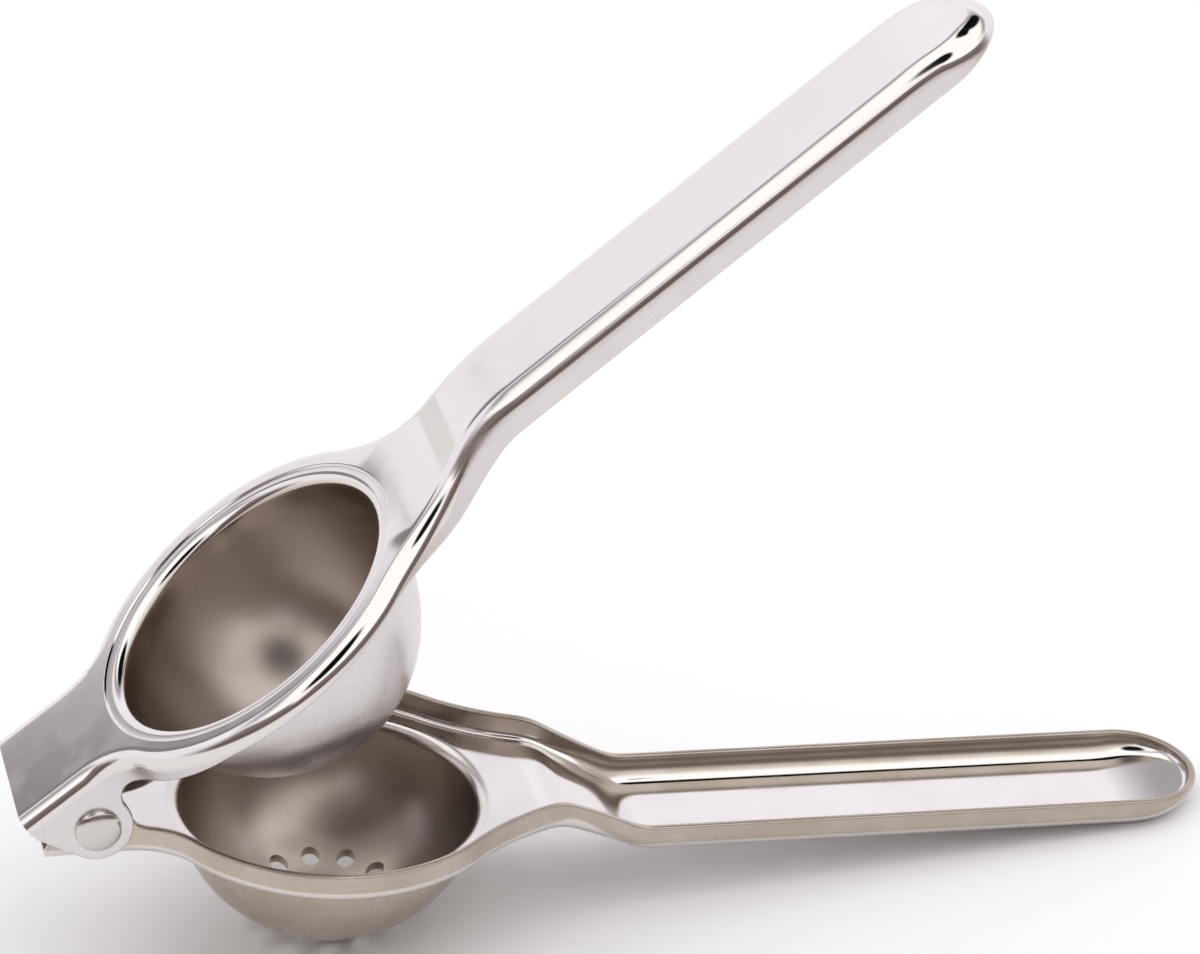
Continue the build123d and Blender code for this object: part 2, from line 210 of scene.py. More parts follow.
# ------------ sheet metal outlines
def rounded_line(points, radii):
    """Height along a side line with rounded corners, as a function of x."""
    arcs = []
    for (x0, z0), (x1, z1), (x2, z2), r in zip(points, points[1:], points[2:], radii):
        before, after = atan((z1 - z0) / (x1 - x0)), atan((z2 - z1) / (x2 - x1))
        side = 1 if after > before else -1
        reach = r * tan(abs(after - before) / 2)
        start, end = x1 - reach * cos(before), x1 + reach * cos(after)
        middle_x = start - side * r * sin(before)
        middle_z = z1 - reach * sin(before) + side * r * cos(before)
        arcs.append((start, end, middle_x, middle_z, side, r))
    xs, zs = zip(*points)

    def height(x):
        z = np.interp(x, xs, zs)
        for start, end, middle_x, middle_z, side, r in arcs:
            rise = np.sqrt(np.maximum(r * r - (x - middle_x) ** 2, 0))
            z = np.where((x > start) & (x < end), middle_z - side * rise, z)
        return z

    return height


def plan_outline(s, half):
    """One side of a half's plan from tail to tip, as (length, place at a distance along it) pairs."""
    hb, nb, fr, bx = half.hinge_blend, half.neck_blend, half.flange_r, s.bowl_x
    rear = (bx - sqrt((fr + hb) ** 2 - (half.tail_half + hb) ** 2), half.tail_half + hb)
    neck = (bx + sqrt((fr + nb) ** 2 - (half.handle_half + nb) ** 2), half.handle_half + nb)
    rear_angle, neck_angle = atan2(rear[1], rear[0] - bx), atan2(neck[1], neck[0] - bx)
    end = s.tip_x - half.handle_half

    def straight(x0, x1, y):
        def place(d):
            return x0 + d, np.full_like(d, y), np.zeros_like(d), np.ones_like(d)
        return x1 - x0, place

    def bend(centre, r, a0, a1):
        way, out = (1, -1) if a1 > a0 else (-1, 1)

        def place(d):
            a = a0 + way * d / r
            return centre[0] + r * np.cos(a), centre[1] + r * np.sin(a), out * np.cos(a), out * np.sin(a)
        return r * abs(a1 - a0), place

    return [
        straight(half.tail_x, rear[0], half.tail_half),
        bend(rear, hb, -pi / 2, rear_angle - pi),
        bend((bx, 0), fr, rear_angle, neck_angle),
        bend(neck, nb, neck_angle - pi, -pi / 2),
        straight(neck[0], end, half.handle_half),
        bend((end, 0), half.handle_half, pi / 2, 0),
    ]


def along(pieces, d):
    """Place and outward direction at distances along the outline."""
    d = np.asarray(d, float)
    found = np.zeros((4,) + d.shape)
    start = 0.0
    for i, (length, place) in enumerate(pieces):
        last = i == len(pieces) - 1
        here = (d >= start) & ((d < start + length) | last)
        if i == 0:
            here |= d < start
        for k, values in enumerate(place(d - start)):
            found[k] = np.where(here, values, found[k])
        start += length
    return found


def ear_line(half, tail_edge_z, edge_z, step):
    """Edge of the ear from the square end, round the pin, into the straight edge.

    Gives the places, the inward directions and the number of places before the last rounding."""
    r, f = half.ear_r, half.ear_fillet
    reach = hypot(half.tail_x, tail_edge_z)
    first = atan2(tail_edge_z, half.tail_x) % (2 * pi) + np.arccos(r / reach)
    fz = edge_z - f
    fx = sqrt((r + f) ** 2 - fz**2)
    last = atan2(fz, fx) + 2 * pi
    tangent = np.array([r * cos(first), r * sin(first)])
    corner = np.array([half.tail_x, tail_edge_z])
    flat = np.linalg.norm(tangent - corner)
    spots, inward = [], []
    for share in np.arange(0, 1, step / flat):
        spots.append(corner + (tangent - corner) * share)
        inward.append((-cos(first), -sin(first)))
    for a in np.arange(first, last - step / r / 2, step / r):
        spots.append((r * cos(a), r * sin(a)))
        inward.append((-cos(a), -sin(a)))
    before = len(spots)
    for a in np.linspace(last - pi, pi / 2, int((last - pi - pi / 2) * f / step) + 2):
        spots.append((fx + f * cos(a), fz + f * sin(a)))
        inward.append((cos(a), sin(a)))
    return np.array(spots), np.array(inward), before


# ------------ meshes
def welded(name, patches, to_place):
    """One closed mesh from patches of points in rows, given in a half's own frame."""
    mesh = bpy.data.meshes.new(name)
    bm = bmesh.new()
    for patch in patches:
        rows, columns = patch.shape[:2]
        verts = [bm.verts.new(to_place @ Vector(p)) for p in patch.reshape(-1, 3)]
        for i in range(rows - 1):
            for j in range(columns - 1):
                a = i * columns + j
                bm.faces.new((verts[a], verts[a + 1], verts[a + columns + 1], verts[a + columns]))
    bmesh.ops.remove_doubles(bm, verts=bm.verts, dist=WELD)
    bmesh.ops.dissolve_degenerate(bm, dist=WELD, edges=bm.edges)
    bmesh.ops.recalc_face_normals(bm, faces=bm.faces)
    loose = [e for e in bm.edges if not e.is_manifold]
    if loose:
        middle = sum((e.verts[0].co for e in loose), Vector()) / len(loose)
        raise RuntimeError(f"{name}: {len(loose)} open edges round {middle[:]}")
    if bm.calc_volume(signed=True) < 0:
        bmesh.ops.reverse_faces(bm, faces=bm.faces)
    bm.to_mesh(mesh)
    bm.free()
    return mesh


def smooth(mesh):
    """Smooth shading that stays crisp at the sheared edges and the bores."""
    mesh.shade_smooth()
    mesh.set_sharp_from_angle(angle=CREASE)


def eased(count, hold):
    """Shares from 0 to 1 in even steps, with one short step at each end that holds the bend beside it."""
    return np.concatenate([[0], np.linspace(hold, 1 - hold, count - 1), [1]])


def between(a, b, shares):
    """Rows of points from a to b, where both are lists of points of one length."""
    return a[None] + (b - a)[None] * np.asarray(shares)[:, None, None]


def level_circle(s, point, angles):
    """Points round the bowl's axis through one (radius, height) point of its section."""
    radius, height = point
    x, y = s.bowl_x + radius * np.cos(angles), radius * np.sin(angles)
    return np.stack([x, y, np.full_like(angles, height)], -1)


def sheet_patches(s, half, web, edge, tail_edge_z, rings):
    """Patches of one half: turned edge, face and bowl, outside and inside.

    web and edge are heights as functions of x, and rings are the bowl's outer and inner
    sections, as (radius, height) from the flange to the middle."""
    arc_steps, corner_steps, across = 10, 3, 24
    shortest_wall = 0.1 * MM
    pieces = plan_outline(s, half)
    total = sum(length for length, _ in pieces)
    ear, ear_in, bend_from = ear_line(half, tail_edge_z, float(edge(np.array(0.0))), EAR_STEP)
    straight_run = pieces[0][0]

    def run_at(x):
        """Distance along the outline at x, on the straight and the start of the hinge blend."""
        past = np.clip((x - half.tail_x - straight_run) / half.hinge_blend, 0, 0.9)
        return np.minimum(x - half.tail_x, straight_run) + half.hinge_blend * np.arcsin(past)

    # top_d is where each row leaves the face, as a distance along the outline, and foot_x and
    # foot_z are where it meets the edge: the rows fan out round the ear and stand upright after it.
    ear_tops = run_at(ear[:, 0])
    ear_tops[: bend_from + 1] = np.linspace(0, ear_tops[bend_from], bend_from + 1)
    rest, start = [], 0.0
    for i, (length, _) in enumerate(pieces):
        widest = TIP_STEP if i == len(pieces) - 1 else SIDE_STEP
        rest += list(start + np.arange(0, 1, 1 / np.ceil(length / widest)) * length)
        start += length
    rest = [d for d in rest if d > ear_tops[-1] + 0.5 * MM] + [total]
    top_d = np.concatenate([ear_tops, rest])
    rest_x = along(pieces, np.array(rest))[0]
    foot_x = np.concatenate([ear[:, 0], rest_x])
    foot_z = np.concatenate([ear[:, 1], edge(rest_x)])
    inward_x = np.concatenate([ear_in[:, 0], np.zeros(len(rest))])
    inward_z = np.concatenate([ear_in[:, 1], np.ones(len(rest))])
    in_ear = np.arange(len(top_d)) < len(ear)

    def foot_d(offset):
        """Distance along the outline of the rows' feet, moved in from the edge."""
        return np.where(in_ear, run_at(foot_x + inward_x * offset), top_d)

    def spot(d, inset):
        """Place at a distance along the outline, moved in from it."""
        x, y, nx, ny = along(pieces, d)
        return x - nx * inset, y - ny * inset

    t, er = s.sheet, s.edge_r
    rim_z = foot_z + inward_z * er
    top_x = along(pieces, top_d)[0]
    on_handle = np.clip((top_x - half.crank_start) / (half.crank_end - half.crank_start), 0, 1)
    on_handle = on_handle**2 * (3 - 2 * on_handle)
    depth = web(top_x) - rim_z - LAND

    def radius_along(plain, handle, room):
        """Bend radius that widens along the handle, as far as the edge is deep enough."""
        return plain + np.minimum(handle - plain, np.maximum(room - plain, 0)) * on_handle

    outer_r = radius_along(half.shoulder, half.handle_shoulder, depth)
    inner_r = radius_along(half.shoulder - t, half.handle_fillet, depth - t)

    def skin_rows(radius, skin):
        """Rows from the face round the shoulder and down the wall, skin deep inside the outer side."""
        bend_start = web(top_x) - skin - radius
        room = np.clip((rim_z + shortest_wall - bend_start) / radius, 0, 0.98)
        full = np.arccos(room)
        rows = []
        for j in range(arc_steps + 1):
            a = full * j / arc_steps
            x, y = spot(top_d, skin + radius * (1 - np.sin(a)))
            rows.append(np.stack([x, y, web(x) - skin - radius * (1 - np.cos(a))], -1))
        last = rows[-1]
        last_inset = skin + radius * (1 - np.sin(full))
        for f in WALL_SHARES:
            d = top_d + (foot_d(er) - top_d) * f
            x, y = spot(d, last_inset + (skin - last_inset) * f)
            rows.append(np.stack([x, y, last[:, 2] + (rim_z - last[:, 2]) * f], -1))
        return rows

    def corner_rows(inset, side):
        """Rows round the sheared corner, from the wall to the middle of the edge."""
        rows = []
        for k in range(1, corner_steps + 1):
            a = k / corner_steps * pi / 2
            lift = er * (1 - sin(a))
            x, y = spot(foot_d(lift), inset + side * er * (1 - cos(a)))
            rows.append(np.stack([x, y, foot_z + inward_z * lift], -1))
        return rows

    outer = np.array(skin_rows(outer_r, 0.0) + corner_rows(0.0, 1))
    inner = np.array(skin_rows(inner_r, t) + corner_rows(t, -1))

    def both_sides(rows):
        """The rows carried on past the tip and back along the other side."""
        other = rows[:, -2::-1] * np.array([1, -1, 1])
        return np.concatenate([rows, other], 1)

    outer, inner = both_sides(outer), both_sides(inner)
    patches = [outer, inner, np.stack([outer[-1], inner[-1]])]
    for end in (0, -1):
        patches.append(np.stack([outer[:, end], inner[:, end]]))

    # Flat faces: strips across the tail and the handle, and a fan round the bowl.
    n = len(top_d) - 1
    face_x = outer[0, : n + 1, 0]
    behind, ahead = 2.5 * MM, 1.5 * MM  # how far the fan reaches past the bowl's ring
    first = int(np.argmax(face_x > s.bowl_x - rings[0][0][0] - behind))
    middle = int(np.argmax(face_x > s.bowl_x))
    last = middle + int(np.argmax(face_x[middle:] > s.bowl_x + rings[0][0][0] + ahead))
    shares = eased(across, 0.025)
    fan = eased(6, 0.05)
    ends = []
    for loop, ring in zip((outer[0], inner[0]), rings):
        flipped = loop[::-1]
        rows = between(loop[: n + 1], flipped[: n + 1], shares)
        angles = np.arctan2(loop[first:last + 1, 1], loop[first:last + 1, 0] - s.bowl_x)
        back = np.linspace(angles[0], 2 * pi - angles[0], across + 1)
        front = np.linspace(angles[-1], -angles[-1], across + 1)
        side = between(loop[first:last + 1], level_circle(s, ring[0], angles), fan)
        patches += [side, side * np.array([1, -1, 1])]
        patches.append(between(rows[:, first], level_circle(s, ring[0], back), fan))
        patches.append(between(rows[:, last], level_circle(s, ring[0], front), fan))
        for part in (rows[:, : first + 1], rows[:, last:]):
            part[..., 2] = web(part[..., 0]) - (web(loop[0, 0]) - loop[0, 2])
            patches.append(part)
        ends.append(rows[:, 0])
        # Bowl: the section swept round through the same angles.
        at = np.concatenate([angles[::-1], back[1:], 2 * pi - angles[1:], 2 * pi + front[::-1][1:]])
        patches.append(np.stack([level_circle(s, point, at) for point in ring]))
    patches.append(np.stack(ends))
    return patches


def half_place(turned, flipped):
    """Matrix from a half's own frame to its place; heights of a flipped half count downwards."""
    matrix = Matrix.Translation(HINGE) @ Matrix.Rotation(-turned, 4, "Y")
    return matrix @ Matrix.Diagonal((1, 1, -1 if flipped else 1, 1))


def strainer_turn(s):
    """The lower half rests on its bowl: the turn that puts the bowl's lowest point on the floor."""
    lower = s.strainer
    centre_z = lower.bowl_up - lower.web_z
    reach = hypot(s.bowl_x, centre_z)
    return asin((lower.bowl_r + s.sheet - HINGE.z) / reach) - atan2(centre_z, s.bowl_x)


def side_line(s, half):
    """Height of a half's flat face along its length."""
    knee = s.tip_x - s.curl_run / 2
    high = half.web_z + half.rise
    knee_z = high + tan(half.slope) * (knee - half.crank_end)
    beyond = s.tip_x + MM
    points = [
        (half.tail_x - MM, half.web_z), (half.crank_start, half.web_z), (half.crank_end, high),
        (knee, knee_z), (beyond, knee_z - half.end_drop * (beyond - knee) * 2 / s.curl_run),
    ]
    return rounded_line(points, [half.bend, half.bend, s.curl])


def arc_points(centre, r, a0, a1, count):
    """Points along an arc from angle a0 to angle a1."""
    return [(centre[0] + r * cos(a), centre[1] + r * sin(a)) for a in np.linspace(a0, a1, count)]


def cup_rings(s, half):
    """Sections of the press cup, from the flange to the middle: the face's side, then the underside."""
    face = half.web_z
    step_out = half.cup_r + half.step_width
    step_run = 1.2 * half.step_depth
    low = face - half.step_depth
    rim = face - half.rim_drop
    wall_start = 0.6 * MM  # the cup's own curve starts this far under a rounding
    # The struck step, as shares of its run outwards and of its depth downwards.
    top = [
        (step_out + step_run * out, face - half.step_depth * down)
        for out, down in ((1, 0), (0.8, 0.06), (0.8, 0.2), (0.5, 0.5), (0.2, 0.8), (0.05, 0.98), (-0.3, 1))
    ]
    top += [(half.cup_r + half.lip + LAND, low)]
    middle = (half.cup_r + half.lip, low - half.lip)
    top += arc_points(middle, half.lip, pi / 2, pi, 12)

    def bowl(radius, depth, start_z):
        """Half an ellipse, from a height below the rim to the middle."""
        first = asin((rim - start_z) / depth)
        return [(radius * cos(q), rim - depth * sin(q)) for q in np.linspace(first, pi / 2, BOWL_ROWS)]

    top += bowl(half.cup_r, half.cup_depth, middle[1] - wall_start)
    top[-1] = (0, top[-1][1])
    outer_r = half.cup_r + s.sheet
    under = face - s.sheet
    root = (outer_r + half.root, under - half.root)
    low_ring = [(step_out + step_run, under), (root[0] + LAND, under)]
    low_ring += arc_points(root, half.root, pi / 2, pi, 8)
    low_ring += bowl(outer_r, half.cup_depth + s.sheet, root[1] - wall_start)
    low_ring[-1] = (0, low_ring[-1][1])
    return top, low_ring


def bowl_rings(s, half):
    """Sections of the strainer bowl, which stands out of the flat face."""
    face, centre_z = half.web_z, half.web_z - half.bowl_up
    outer_r = half.bowl_r + s.sheet
    mid_z = face + half.root
    mid_r = sqrt((outer_r + half.root) ** 2 - (mid_z - centre_z) ** 2)
    lean = atan2(mid_z - centre_z, mid_r)
    margin = 2.2 * MM  # flat ring round the root
    sections = []
    for ball, fillet, level in (
        (outer_r, half.root, face), (half.bowl_r, half.root + s.sheet, face - s.sheet)
    ):
        ring = [(mid_r + margin, level), (mid_r + LAND, level)]
        ring += arc_points((mid_r, mid_z), fillet, -pi / 2, lean - pi, 10)
        down = np.linspace(lean + 0.02, pi / 2, BOWL_ROWS)
        ring += [(ball * cos(q), centre_z + ball * sin(q)) for q in down]
        ring[-1] = (0, ring[-1][1])
        sections.append(ring)
    return sections


# ------------ node helpers
SOFT_STEP = {"interpolation_type": "SMOOTHSTEP"}
TIMES = {"operation": "MULTIPLY"}
TIMES_PLUS = {"operation": "MULTIPLY_ADD"}
COLOURS = {"data_type": "RGBA"}
TURNED_BACK = {"vector_type": "TEXTURE"}


def node(tree, kind, settings=None, inputs=None):
    """Adds a node with its settings and inputs. A socket, or a node's first output, is linked."""
    made = tree.nodes.new(kind)
    for key, value in (settings or {}).items():
        setattr(made, key, value)
    for key, value in (inputs or {}).items():
        if isinstance(value, bpy.types.Node):
            value = value.outputs[0]
        if isinstance(value, bpy.types.NodeSocket):
            tree.links.new(value, made.inputs[key])
        else:
            made.inputs[key].default_value = value
    return made


def tree_with(name, sockets):
    """A geometry node tree with named inputs, and its group input and output."""
    tree = bpy.data.node_groups.new(name, "GeometryNodeTree")
    tree.interface.new_socket("Sheet", in_out="INPUT", socket_type="NodeSocketGeometry")
    for label, kind in sockets:
        tree.interface.new_socket(label, in_out="INPUT", socket_type=kind)
    tree.interface.new_socket("Sheet", in_out="OUTPUT", socket_type="NodeSocketGeometry")
    return tree, node(tree, "NodeGroupInput").outputs, node(tree, "NodeGroupOutput")


def cut_away(tree, tools, given, output):
    """Cuts the tools out of the sheet and ends the tree in real geometry with its material set."""
    cut = node(
        tree, "GeometryNodeMeshBoolean", {"operation": "DIFFERENCE", "solver": "EXACT"},
        {"Mesh 1": given["Sheet"], "Mesh 2": tools},
    )
    real = node(tree, "GeometryNodeRealizeInstances", None, {"Geometry": cut.outputs["Mesh"]})
    painted = node(
        tree, "GeometryNodeSetMaterial", None, {"Geometry": real, "Material": given["Material"]}
    )
    tree.links.new(painted.outputs[0], output.inputs[0])


def punch_tree():
    """Round holes struck through the bowl: one in the middle and two rings."""
    tree, given, output = tree_with("juice_holes", [
        ("Hole Radius", "NodeSocketFloat"),
        ("Inner Ring Radius", "NodeSocketFloat"),
        ("Inner Ring Count", "NodeSocketInt"),
        ("Outer Ring Radius", "NodeSocketFloat"),
        ("Outer Ring Count", "NodeSocketInt"),
        ("Punch Length", "NodeSocketFloat"),
        ("Place", "NodeSocketVector"),
        ("Tilt", "NodeSocketVector"),
        ("Material", "NodeSocketMaterial"),
    ])
    middle = node(tree, "GeometryNodeMeshLine", {"mode": "OFFSET"}, {"Count": 1})
    rings = [
        node(
            tree, "GeometryNodeMeshCircle", None,
            {"Vertices": given[f"{label} Ring Count"], "Radius": given[f"{label} Ring Radius"]},
        )
        for label in ("Inner", "Outer")
    ]
    points = node(tree, "GeometryNodeJoinGeometry")
    for source in (middle, *rings):
        tree.links.new(source.outputs["Mesh"], points.inputs[0])
    punch = node(
        tree, "GeometryNodeMeshCylinder", None,
        {"Vertices": 40, "Radius": given["Hole Radius"], "Depth": given["Punch Length"]},
    )
    punches = node(
        tree, "GeometryNodeInstanceOnPoints", None,
        {"Points": points, "Instance": punch.outputs["Mesh"]},
    )
    solid = node(tree, "GeometryNodeRealizeInstances", None, {"Geometry": punches})
    placed = node(
        tree, "GeometryNodeTransform", None,
        {"Geometry": solid, "Translation": given["Place"], "Rotation": given["Tilt"]},
    )
    cut_away(tree, placed, given, output)
    return tree


def bore_tree():
    """One bore through both ears."""
    tree, given, output = tree_with("pin_bores", [
        ("Bore Radius", "NodeSocketFloat"),
        ("Bore Length", "NodeSocketFloat"),
        ("Place", "NodeSocketVector"),
        ("Material", "NodeSocketMaterial"),
    ])
    drill = node(
        tree, "GeometryNodeMeshCylinder", None,
        {"Vertices": 64, "Radius": given["Bore Radius"], "Depth": given["Bore Length"]},
    )
    placed = node(
        tree, "GeometryNodeTransform", None,
        {"Geometry": drill.outputs["Mesh"], "Translation": given["Place"], "Rotation": (pi / 2, 0, 0)},
    )
    cut_away(tree, placed, given, output)
    return tree


def applied(piece, tree, values):
    """Runs a tree on a piece once and leaves its result as the piece's plain mesh."""
    modifier = piece.modifiers.new(tree.name, "NODES")
    modifier.node_group = tree
    names = {item.name: item.identifier for item in tree.interface.items_tree if item.in_out == "INPUT"}
    for label, value in values.items():
        modifier[names[label]] = value
    graph = bpy.context.evaluated_depsgraph_get()
    result = bpy.data.meshes.new_from_object(piece.evaluated_get(graph), depsgraph=graph)
    piece.modifiers.remove(modifier)
    old, piece.data = piece.data, result
    result.name = piece.name
    bpy.data.meshes.remove(old)
    return piece


def piece_of(name, mesh, material):
    """A piece at the origin, with its place in its mesh."""
    old = bpy.data.objects.get(name)
    if old is not None:
        bpy.data.objects.remove(old)
    piece = bpy.data.objects.new(name, mesh)
    bpy.context.scene.collection.objects.link(piece)
    if not mesh.materials:
        mesh.materials.append(material)
    return piece


def bored(name, s, patches, place, steel):
    """A half made of its patches, with its ears bored for the pin."""
    piece = piece_of(name, welded(name, patches, place), steel)
    return applied(piece, bore_tree(), {
        "Bore Radius": s.pin.shaft_r + s.pin.running,
        "Bore Length": 4 * s.pin.grip,
        "Place": HINGE,
        "Material": steel,
    })


# ------------ finishes
def surface(name):
    """A new material, its tree and its Principled shader."""
    material = bpy.data.materials.new(name)
    material.use_nodes = True
    return material, material.node_tree, material.node_tree.nodes["Principled BSDF"]


def buffed_stainless(name, s, half, painted_wall_shade, turned, up, bowl):
    """Stainless sheet, deep drawn and then wheel buffed: mirror reflections that waver a little, with
    faint lines from the wheel along the handle. The inside of the bowl is a little rougher and painted a
    darker brown, which is painted shade; the bowl's back and the turned walls are satin and painted darker,
    which is painted shade too.

    up is 1 where the face lies above the hinge and -1 where it lies below. bowl is the bowl's
    middle, its inside radius and its inside depth, in the half's own frame."""
    middle, radius, depth = bowl
    # Real lines from the wheel are finer: they are drawn coarse enough to show.
    line_length, lines_per_mm = 40 * MM, 1.6
    smudge, ripple = 9 * MM, 22 * MM
    material, tree, shader = surface(name)
    shader.inputs["Metallic"].default_value = 1.0
    spot = node(tree, "ShaderNodeTexCoord")
    own = node(
        tree, "ShaderNodeMapping", TURNED_BACK,
        {"Vector": spot.outputs["Object"], "Location": HINGE, "Rotation": (0, -turned, 0)},
    )
    lines = node(
        tree, "ShaderNodeMapping", None,
        {"Vector": own, "Scale": (1 / line_length, 1 / MM, 1 / MM)},
    )
    wheel, cloud, waver = (
        node(
            tree, "ShaderNodeTexNoise", None,
            {"Vector": source, "Scale": scale, "Detail": detail},
        )
        for source, scale, detail in (
            (lines, lines_per_mm, 3.0), (own, 1 / smudge, 5.0), (own, 1 / ripple, 1.0)
        )
    )
    # How far a point lies into the bowl: 1 on its inside, a little more on its back.
    ball = node(
        tree, "ShaderNodeMapping", TURNED_BACK,
        {"Vector": own, "Location": middle, "Scale": (radius, radius, depth)},
    )
    away = node(tree, "ShaderNodeVectorMath", {"operation": "LENGTH"}, {0: ball})
    level = node(tree, "ShaderNodeSeparateXYZ", None, {"Vector": ball})
    inside, near, below = (
        node(tree, "ShaderNodeMapRange", SOFT_STEP, {"Value": value, "From Min": none, "From Max": full})
        for value, none, full in (
            (away.outputs["Value"], 1.022, 1.002),  # the inside alone
            (away.outputs["Value"], 1.1, 1.06),  # the inside and the back
            (level.outputs["Z"], -0.05, -0.2),  # clear of the flange
        )
    )
    back = node(tree, "ShaderNodeMath", TIMES, {0: near, 1: below})
    # Depth below the face, which steps up at the crank, climbs to the end and curls over there.
    # A wall starts where the shoulder ends.
    place = node(tree, "ShaderNodeSeparateXYZ", None, {"Vector": own})
    climb = tan(half.slope) * (s.tip_x - half.crank_end)
    face = node(tree, "ShaderNodeMath", TIMES_PLUS, {0: place.outputs["Z"], 1: -up, 2: half.web_z})
    for kind, start, end, height in (
        ("SMOOTHSTEP", half.crank_start, half.crank_end, half.rise),
        ("LINEAR", half.crank_end, s.tip_x, climb),
        ("SMOOTHSTEP", s.tip_x - 0.75 * s.curl_run, s.tip_x, -half.end_drop),
    ):
        part = node(
            tree, "ShaderNodeMapRange", {"interpolation_type": kind},
            {"Value": place.outputs["X"], "From Min": start, "From Max": end, "To Max": height},
        )
        face = node(tree, "ShaderNodeMath", None, {0: face, 1: part})
    deep = node(
        tree, "ShaderNodeMapRange", SOFT_STEP,
        {"Value": face, "From Min": 0.8 * half.shoulder, "From Max": 1.05 * half.shoulder},
    )
    clear = node(tree, "ShaderNodeMath", {"operation": "SUBTRACT"}, {0: 1.0, 1: near})
    wall = node(tree, "ShaderNodeMath", TIMES, {0: deep, 1: clear})
    # This mask makes the bowl's back and the walls rougher, and also carries painted shade in their colour
    satin = node(tree, "ShaderNodeMath", {"operation": "MAXIMUM"}, {0: back, 1: wall})
    blotch, gloss, smudged = (
        node(
            tree, "ShaderNodeMapRange", None,
            {"Value": source, "From Min": low, "From Max": high, "To Min": least, "To Max": most},
        )
        for source, low, high, least, most in (
            (cloud, 0.35, 0.65, 0.75, 1.0),  # how much of the painted wall shade shows
            (wheel, 0.3, 0.7, 0.07, 0.08),  # roughness where the wheel has been
            (cloud, 0.45, 0.7, 0.0, 0.06),  # more roughness where it is smudged
        )
    )
    painted_shade_amount = node(tree, "ShaderNodeMath", TIMES, {0: satin, 1: blotch})
    # Painted shade: the walls and the bowl's back take the darker wall colour
    outer = node(
        tree, "ShaderNodeMix", COLOURS,
        {"Factor": painted_shade_amount, "A": (*s.steel, 1), "B": (*painted_wall_shade, 1)},
    )
    # Painted shade: the inside of the bowl takes the darker brown
    colour = node(
        tree, "ShaderNodeMix", COLOURS,
        {"Factor": inside, "A": outer.outputs["Result"], "B": (*s.painted_bowl_shade, 1)},
    )
    tree.links.new(colour.outputs["Result"], shader.inputs["Base Color"])
    bright = node(tree, "ShaderNodeMath", None, {0: gloss, 1: smudged})
    soft = node(tree, "ShaderNodeMath", TIMES_PLUS, {0: satin, 1: 0.2, 2: bright})
    rough = node(tree, "ShaderNodeMath", TIMES_PLUS, {0: inside, 1: 0.02, 2: soft})
    tree.links.new(rough.outputs[0], shader.inputs["Roughness"])
    wave = node(
        tree, "ShaderNodeBump", None, {"Strength": 0.35, "Distance": 0.06 * MM, "Height": waver}
    )
    grain = node(
        tree, "ShaderNodeBump", None,
        {"Strength": 0.012, "Distance": 0.004 * MM, "Height": wheel, "Normal": wave},
    )
    tree.links.new(grain.outputs[0], shader.inputs["Normal"])
    return material


def turned_steel(name, colour):
    """Bar stainless, turned and set in a press: rings from the tool on a bright head."""
    ring_spacing, smudge = 0.35 * MM, 2.5 * MM
    material, tree, shader = surface(name)
    shader.inputs["Base Color"].default_value = (*colour, 1)
    shader.inputs["Metallic"].default_value = 1.0
    spot = node(tree, "ShaderNodeTexCoord")
    centred = node(
        tree, "ShaderNodeMapping", TURNED_BACK, {"Vector": spot.outputs["Object"], "Location": HINGE}
    )
    parts = node(tree, "ShaderNodeSeparateXYZ", None, {"Vector": centred})
    flat = node(tree, "ShaderNodeCombineXYZ", None, {"X": parts.outputs["X"], "Y": parts.outputs["Z"]})
    away = node(tree, "ShaderNodeVectorMath", {"operation": "LENGTH"}, {0: flat})
    rings = node(
        tree, "ShaderNodeTexNoise", {"noise_dimensions": "1D"},
        {"W": away.outputs["Value"], "Scale": 1 / ring_spacing},
    )
    cloud = node(tree, "ShaderNodeTexNoise", None, {"Vector": centred, "Scale": 1 / smudge})
    rough = node(
        tree, "ShaderNodeMapRange", None,
        {"Value": cloud, "From Min": 0.3, "From Max": 0.7, "To Min": 0.12, "To Max": 0.24},
    )
    tree.links.new(rough.outputs[0], shader.inputs["Roughness"])
    bump = node(
        tree, "ShaderNodeBump", None, {"Strength": 0.2, "Distance": 0.01 * MM, "Height": rings}
    )
    tree.links.new(bump.outputs[0], shader.inputs["Normal"])
    return material


def matt_paper(name, colour):
    """Seamless background paper: matt and even, because its tooth is too fine to see."""
    material, tree, shader = surface(name)
    shader.inputs["Base Color"].default_value = (*colour, 1)
    shader.inputs["Roughness"].default_value = 0.9
    shader.inputs["Specular IOR Level"].default_value = 0.1
    return material


